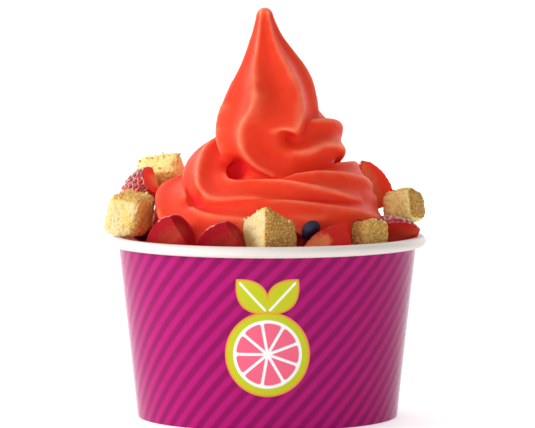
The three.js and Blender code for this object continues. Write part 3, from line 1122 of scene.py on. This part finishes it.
# Presses the sorbet above the rim back, towards the cup's axis, where a topping stands in it or before it
def pressBack(points, piece):
    spots = meshPoints(piece.data)
    low, high = spots.min(axis=0), spots.max(axis=0)
    middle, span = (low + high) / 2, np.linalg.norm(high - low)
    inward = -middle * (1, 1, 0)
    inward = inward / np.linalg.norm(inward)
    tree = BVHTree.FromPolygons(spots.tolist(), [tuple(face.vertices) for face in piece.data.polygons])
    along = (points - middle) @ inward
    aside = np.linalg.norm(points - middle - along[:, None] * inward, axis=1)
    near = (aside < span / 2) & (np.abs(along) < span) & (points[:, 2] > cup["height"])
    for k in np.flatnonzero(near):
        behind = points[k] + (span - along[k]) * inward
        spot = tree.ray_cast(Vector(behind), Vector(-inward))[0]
        if spot and (np.array(spot) - middle) @ inward > along[k]:
            points[k] = spot


# The mesh that a modifier leaves
def modified(name, mesh, kind, settings):
    piece = link(name, mesh)
    modifier = piece.modifiers.new(name, kind)
    for setting, value in settings.items():
        setattr(modifier, setting, value)
    seen = piece.evaluated_get(bpy.context.evaluated_depsgraph_get())
    mesh = bpy.data.meshes.new_from_object(seen)
    bpy.data.objects.remove(piece)
    return mesh


# Drops loose scraps that the remesh left: linked points come to share their lowest number
def onlyLargest(mesh):
    edges = meshEdges(mesh)
    group, before = np.arange(len(mesh.vertices)), None
    while not np.array_equal(group, before):
        before = group.copy()
        np.minimum.at(group, edges, group[edges].min(axis=1, keepdims=True))
        group = group[group]
    largest = np.bincount(group).argmax()
    shape = bmesh.new()
    shape.from_mesh(mesh)
    scraps = [spot for spot in shape.verts if group[spot.index] != largest]
    bmesh.ops.delete(shape, geom=scraps, context="VERTS")
    shape.to_mesh(mesh)
    shape.free()


def sorbetMesh():
    rope, ropeFaces = ropeShape()
    fill, fillFaces = fillShape()
    faces = ropeFaces + [tuple(face + len(rope)) for face in fillFaces]
    mesh = buildMesh("sorbet", np.vstack([rope, fill]), faces)
    mesh = modified("fuse", mesh, "REMESH", {"mode": "VOXEL", "voxel_size": sorbet["voxel"] * mm})
    points, edges = meshPoints(mesh), meshEdges(mesh)
    for piece in cakePieces + fruitPieces:
        pressBack(points, piece)
    for k in range(sorbet["softRounds"]):
        points = relaxed(points, edges)
    # soft sorbet runs together where coils meet, so creases fill up and ridges stay
    for k in range(sorbet["creaseRounds"]):
        setPoints(mesh, points)
        normals = meshNormals(mesh)
        rise = ((relaxed(points, edges, 1.0) - points) * normals).sum(axis=1)
        points = points + normals * np.maximum(rise, 0)[:, None] * sorbet["creaseShare"]
    for spot, reach, rounds in sorbet["blends"]:
        points = blended(points, edges, spot, reach, rounds)
    for spot, reach, depth in sorbet["dents"]:
        setPoints(mesh, points)
        points = points - meshNormals(mesh) * (depth * nearness(points, spot, reach))[:, None]
    setPoints(mesh, points)
    wide, fine = sorbet["wobbleSizes"]
    wobble = bumpy(points, wide, 3) + 0.5 * bumpy(points, fine, 4)
    points = points + meshNormals(mesh) * (sorbet["wobble"] * wobble)[:, None]
    setPoints(mesh, points)
    ratio = min(1, sorbet["triangles"] / (2 * len(mesh.polygons)))
    mesh = modified("thin", mesh, "DECIMATE", {"ratio": ratio})
    onlyLargest(mesh)
    return mesh


# How far each point stands out from its surroundings, for the painted highlight on the ridges and the
# painted shade in the hollows
def storeRelief(mesh):
    points, edges = meshPoints(mesh), meshEdges(mesh)
    wide = points
    for k in range(sorbet["reliefRounds"]):
        wide = relaxed(wide, edges, sorbet["reliefShare"])
    store(mesh, "relief", ((points - wide) * meshNormals(mesh)).sum(axis=1))


def sorbetPaint():
    paint = Paint("sorbet", {"Specular IOR Level": 0.07})
    paint.glow(0.3, (1.0, 0.25, 0.12), 2.0)
    relief = paint.stored("relief")
    streak = paint.noise(5)
    ice = paint.noise(0.45, 3)
    height = paint.node("SeparateXYZ", {}, {0: paint.place()}, 2)
    # painted highlight on the ridges, paler towards the peak
    crest = paint.soften(relief, *sorbet["crestHighlightRelief"])
    crest = crest * (paint.soften(height, *sorbet["crestHighlightHeights"]) * 0.45 + 0.55)
    colour = paint.mix(crest, sorbet["flesh"], sorbet["crest"])
    # painted shade in the hollows
    colour = paint.mix(paint.soften(relief, *sorbet["hollowShadeRelief"]), colour, sorbet["paintedHollowShade"])
    pale = [1.06 * c + 0.015 for c in sorbet["flesh"]]
    colour = paint.mix(paint.soften(streak, 0.4, 0.7) * 0.2, colour, pale)
    # and painted shade, darker down towards the rim
    colour = paint.mix(paint.soften(height, *sorbet["rimShadeHeights"]) * 0.6, colour, sorbet["paintedHollowShade"])
    paint.shade({"Base Color": colour, "Roughness": ice * 0.2 + 0.42})
    paint.bump(ice, 0.05)
    return paint


mesh = sorbetMesh()
storeRelief(mesh)
addPiece("pipedSorbet", mesh, [sorbetPaint()], "sorbet", "sorbet")
print("sorbet made:", len(mesh.polygons), "triangles")

# Loose crumbs lying on the cake
crumbs = {
    "perCube": 16,
    "smallest": 0.35,
    "largest": 0.95,
    "seed": 5,
    "upward": 0.55,  # how far up a face looks that holds crumbs
    "stretch": (0.7, 1.3),
    "lumpiness": 0.45,
    "lumpSize": 0.7,
    "lumpKinds": 97,
    "proud": 0.3,
    "crust": (0.1, 0.9),
    "tone": 0.3,
}


def addCrumbs(paint):
    draw = np.random.default_rng(crumbs["seed"])
    ball, faces = seedBall()
    points, quads = [], []
    for piece in cakePieces:
        spots, normals = meshPoints(piece.data), meshNormals(piece.data)
        upward = np.flatnonzero(normals[:, 2] > crumbs["upward"])
        for pick in draw.choice(upward, crumbs["perCube"], replace=False):
            size = draw.uniform(crumbs["smallest"], crumbs["largest"])
            lump = ball * draw.uniform(*crumbs["stretch"], 3) * size / 2
            wave = bumpy(ball, crumbs["lumpSize"], int(pick) % crumbs["lumpKinds"])
            lump = lump * (1 + crumbs["lumpiness"] * wave)[:, None]
            quads.append(faces + sum(len(p) for p in points))
            points.append(lump + spots[pick] + normals[pick] * size * crumbs["proud"])
    mesh = buildMesh("cakeCrumbs", np.vstack(points), np.vstack(quads))
    store(mesh, "crust", draw.uniform(*crumbs["crust"], len(mesh.vertices)))
    store(mesh, "pit", 0)
    for share in ("dark", "paleAndLit"):
        store(mesh, share, crumbs["tone"])
    addPiece("cakeCrumbs", mesh, [paint], "cake")


addCrumbs(crumbPaint)
print("crumbs scattered")
